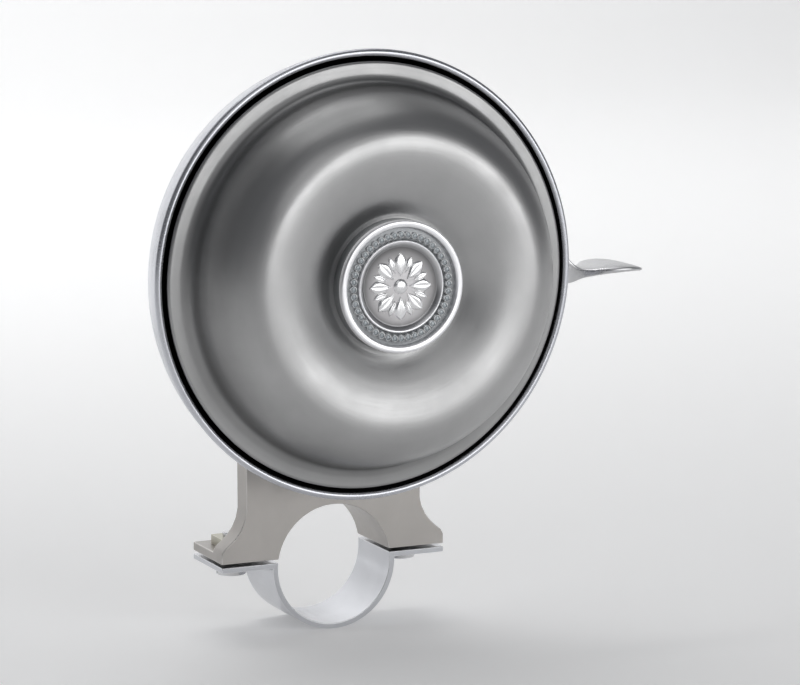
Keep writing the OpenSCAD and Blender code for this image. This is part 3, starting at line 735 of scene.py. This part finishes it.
def petal(turn, start, end, half_width, height, base, verts, faces):
    """A petal with a rounded back and a sunk centre line."""
    rows, across = 14, 10
    first = len(verts)
    cos_t, sin_t = math.cos(turn), math.sin(turn)
    for i in range(rows + 1):
        t = i / rows
        r = start + (end - start) * t
        wide = half_width * max(math.sin(math.pi * t ** 1.35), 0.02) ** 0.8
        tall = height * max(math.sin(math.pi * (0.08 + 0.84 * t)), 0) ** 0.5
        for k in range(across + 1):
            s = 2 * k / across - 1
            vein = 1 - 0.32 * math.exp(-(s * 5) ** 2)
            z = base + 0.02 * MM + tall * max(1 - s * s, 0) ** 0.5 * vein
            verts.append(bell_point(r * cos_t - s * wide * sin_t, r * sin_t + s * wide * cos_t, z))
    for i in range(rows):
        for k in range(across):
            a = first + i * (across + 1) + k
            faces.append((a, a + 1, a + across + 2, a + across + 1))
    rim = [first + k for k in range(across + 1)]
    rim += [first + i * (across + 1) + across for i in range(1, rows + 1)]
    rim += [first + rows * (across + 1) + k for k in range(across - 1, -1, -1)]
    rim += [first + i * (across + 1) for i in range(rows - 1, 0, -1)]
    faces.append(tuple(rim[::-1]))


# ---- thumb lever ----

# place along x, upper edge, lower edge (shares of RIM, mm, mm), half width (share of the pad)
LEVER_STATIONS = [
    (0.66, 1.9, -6.1, None), (0.75, 1.9, -6.1, None), (0.85, 1.8, -6.0, None),
    (0.93, 1.65, -5.85, None), (0.997, 1.5, -5.62, None), (1.03, 1.2, -5.5, None),
    (1.06, 0.85, -5.3, None), (1.082, 0.5, -5.16, None), (1.094, 0.1, -5.08, 0.18),
    (1.105, -0.55, -5.0, 0.20), (1.122, -1.3, -4.85, 0.24), (1.143, -1.96, -4.48, 0.30),
    (1.163, -2.2, -4.14, 0.38), (1.185, -2.2, -3.9, 0.50), (1.204, -2.07, -3.73, 0.62),
    (1.23, -1.83, -3.45, 0.78), (1.258, -1.66, -3.24, 0.90), (1.293, -1.55, -3.1, 0.97),
    (1.33, -1.56, -2.98, 1.0), (1.367, -1.68, -2.95, 0.97), (1.40, -1.9, -2.98, 0.88),
    (1.428, -2.2, -3.08, 0.74), (1.450, -2.5, -3.15, 0.56), (1.465, -2.74, -3.18, 0.36),
    (1.4745, -2.95, -3.18, 0.14),
]


def thumb_lever():
    """A lofted bar: blocky root, waisted neck, lens-shaped thumb pad."""
    verts, faces = [], []
    around = 40
    stations = smooth_stations()
    for x, high, low, half in stations:
        flat = min(max((x / RIM - 1.08) / 0.12, 0), 1)
        power = 2 / (9 - 5.5 * flat)
        wide = max(half, HALF_ROOT * 0.5)
        mid, tall = (high + low) / 2, (high - low) / 2
        for k in range(around):
            a = 2 * math.pi * (k + 0.5) / around
            c, s = math.cos(a), math.sin(a)
            verts.append(bell_point(x, mid + tall * math.copysign(abs(s) ** power, s),
                                    PAD_Z + wide * math.copysign(abs(c) ** power, c)))
    for i in range(len(stations) - 1):
        for k in range(around):
            a, b = i * around + k, i * around + (k + 1) % around
            faces.append((a, b, b + around, a + around))
    faces.append(tuple(range(around - 1, -1, -1)))
    last = (len(stations) - 1) * around
    faces.append(tuple(last + k for k in range(around)))
    obj = make_object("thumb_lever_cast", verts, faces, [lever_metal], sharp_deg=50)
    finish_piece(obj, "thumb_lever")
    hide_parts("thumb_lever")
    hub = lever_hub()
    finish_piece(hub, "thumb_lever")
    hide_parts("thumb_lever")


def smooth_stations():
    """The stations with three more between each pair."""
    rows = [(x * RIM, up * MM, low * MM, HALF_ROOT if h is None else max(h * HALF_PAD, HALF_ROOT))
            for x, up, low, h in LEVER_STATIONS]
    tops = smooth_line([(r[0], r[1]) for r in rows], 4)
    lows = smooth_line([(r[0], r[2]) for r in rows], 4)
    wide = smooth_line([(r[0], r[3]) for r in rows], 4)
    out = []
    for a, b, c in zip(tops, lows, wide):
        out.append((min(a.x, rows[-1][0]), a.y, b.y, min(c.y, HALF_PAD)))
    return out


def lever_hub():
    """The ring round the lever's bush, inside the bell."""
    verts, faces = [], []
    steps = 64
    for k in range(steps):
        a = 2 * math.pi * k / steps
        for r, z in ((HUB_INNER, -HALF_ROOT), (HUB_OUTER, -HALF_ROOT), (HUB_OUTER, HALF_ROOT),
                     (HUB_INNER, HALF_ROOT)):
            verts.append(bell_point(PIVOT[0] + r * math.cos(a), PIVOT[1] + r * math.sin(a),
                                    PAD_Z + z))
    for k in range(steps):
        for s in range(4):
            a, b = 4 * k + s, 4 * k + (s + 1) % 4
            c, d = 4 * ((k + 1) % steps) + (s + 1) % 4, 4 * ((k + 1) % steps) + s
            faces.append((a, b, c, d))
    return make_object("thumb_lever_hub", verts, faces, [lever_metal])


# ---- return spring, as a wound wire ----


def return_spring():
    """Hook, straight to the coil, coil, and a leg to the anchor, as one line."""
    pitch = 2 * WIRE_R
    hook_x, hook_y = HOOK_AT
    path = [(hook_x, hook_y, HOOK_Z), (hook_x, hook_y, COIL_LOW - WIRE_R),
            (hook_x - WIRE_R, hook_y, COIL_LOW), (26.5 * MM, hook_y, COIL_LOW)]
    steps = 24
    total = int((COIL_TURNS - 0.25) * steps)
    for k in range(total + 1):
        a = math.pi / 2 + 2 * math.pi * k / steps
        path.append((PIVOT[0] + COIL_R * math.cos(a), PIVOT[1] + COIL_R * math.sin(a),
                     COIL_LOW + (pitch * COIL_TURNS - pitch / 2) * k / total))
    path.append((path[-1][0], -8 * MM, LEG_Z))
    path.append((*LEG_END, LEG_Z))
    obj = tube("return_spring_wire", [bell_point(*p) for p in path], WIRE_R, dark_steel)
    finish_piece(obj, "return_spring")
    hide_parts("return_spring")


def tube(name, points, radius, material):
    """A round wire along a path, with closed ends."""
    verts, faces = [], []
    around = 12
    side = None
    for i, p in enumerate(points):
        ahead = (points[min(i + 1, len(points) - 1)] - points[max(i - 1, 0)]).normalized()
        if side is None:
            side = ahead.orthogonal().normalized()
        side = (side - ahead * side.dot(ahead)).normalized()
        other = ahead.cross(side)
        for k in range(around):
            a = 2 * math.pi * k / around
            verts.append(p + radius * (math.cos(a) * side + math.sin(a) * other))
    for i in range(len(points) - 1):
        for k in range(around):
            a, b = i * around + k, i * around + (k + 1) % around
            faces.append((a, b, b + around, a + around))
    faces.append(tuple(range(around - 1, -1, -1)))
    last = (len(points) - 1) * around
    faces.append(tuple(last + k for k in range(around)))
    return make_object(name, verts, faces, [material])


# ---- the pieces ----

gong()
lugs()
back_shell()
medallion()
thumb_lever()
return_spring()

# each node's rounding in mm, and the metal of its rounded edges
SOFT_EDGES = {
    "handlebar_bracket": (0.25, bracket_edge),
    "clamp_strap": (0.2, strap_edge),
    "clamp_screws": (0.25, strap_edge),
    "clamp_nuts": (0.2, zinc_edge),
    "bracket_rivets": (0.35, steel_edge),
    "centre_post": (0.3, steel_edge),
}
for node_name, (width, edge_metal) in SOFT_EDGES.items():
    piece = softened(node_name, SLOT_MATERIALS[SLOT_OF[node_name]], edge_metal, width * MM)
    finish_piece(piece, node_name)
    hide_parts(node_name)

# ---- floor, light and camera ----

low, high = (Vector(p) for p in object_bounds())
middle = (low + high) / 2


def floor_and_backdrop():
    """A pale sheet that lies flat and curves up behind the bell."""
    verts, faces = [], []
    half = 3.0
    back, bend = 0.9, 0.5
    line = [(-half, 0.0), (back, 0.0)]
    line += [(back + bend * math.sin(math.radians(a)), bend - bend * math.cos(math.radians(a)))
             for a in range(6, 91, 6)]
    line.append((back + bend, half))
    for y, z in line:
        verts += [(-half, y, low.z + z), (half, y, low.z + z)]
    for i in range(len(line) - 1):
        faces.append((2 * i, 2 * i + 1, 2 * i + 3, 2 * i + 2))
    material, tree, shader = node_tree("pale_floor")
    place = add(tree, "ShaderNodeTexCoord").outputs["Object"]
    grain = noise(tree, place, 60, detail=4)
    tree.links.new(mixed(tree, spread(tree, grain, 0, 1), (0.90, 0.90, 0.90), (0.91, 0.91, 0.91)),
                   shader.inputs["Base Color"])
    shader.inputs["Emission Color"].default_value = (1, 1, 1, 1)
    shader.inputs["Emission Strength"].default_value = 0.19
    shader.inputs["Roughness"].default_value = 0.85
    shader.inputs["Specular IOR Level"].default_value = 0.1
    obj = make_object("floor", verts, faces, [material], sharp_deg=60)
    obj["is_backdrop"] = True


def area_light(name, place, size, power, target):
    """A round softbox turned towards a point."""
    data = bpy.data.lights.new(name, "AREA")
    data.shape = "DISK"
    data.size = size
    data.energy = power
    lamp = bpy.data.objects.new(name, data)
    lamp.location = place
    lamp.rotation_euler = (Vector(target) - Vector(place)).to_track_quat("-Z", "Y").to_euler()
    lamp.visible_camera = False
    bpy.context.scene.collection.objects.link(lamp)


def around_bell(azimuth, elevation, distance):
    """A point at a distance from the bell's middle: azimuth 0 is in front, +90 the right."""
    a, e = math.radians(azimuth), math.radians(elevation)
    return middle + distance * Vector((math.sin(a) * math.cos(e), -math.cos(a) * math.cos(e),
                                       math.sin(e)))


floor_and_backdrop()
# the main softbox stands where the gong's flat rings mirror it into the camera
area_light("main_softbox", around_bell(25, 0, 1.0), 1.0, 5.0, middle)
area_light("camera_softbox", around_bell(-10, 35, 1.2), 0.8, 0.7, middle)
area_light("top_softbox", around_bell(180, 80, 1.3), 1.2, 2.5, middle)
area_light("backdrop_light", middle + Vector((0, 0.45, 0.9)), 0.8, 7.0,
           middle + Vector((0, 1.6, 0.2)))

world = bpy.data.worlds.new("studio")
world.use_nodes = True
world.node_tree.nodes["Background"].inputs["Color"].default_value = (0.93, 0.95, 1.0, 1)
world.node_tree.nodes["Background"].inputs["Strength"].default_value = 0.16
bpy.context.scene.world = world
bpy.context.scene.view_settings.view_transform = "Standard"

CAMERA_AZIMUTH = -25.0
CAMERA_ELEVATION = 9.2
CAMERA_DISTANCE = 0.62
CAMERA_ANGLE = 13.2
camera_data = bpy.data.cameras.new("camera")
camera_data.angle = math.radians(CAMERA_ANGLE)
camera_data.clip_start = 0.01
camera = bpy.data.objects.new("camera", camera_data)
camera.location = around_bell(CAMERA_AZIMUTH, CAMERA_ELEVATION, CAMERA_DISTANCE)
camera.rotation_euler = (middle - camera.location).to_track_quat("-Z", "Y").to_euler()
bpy.context.scene.collection.objects.link(camera)
bpy.context.scene.camera = camera
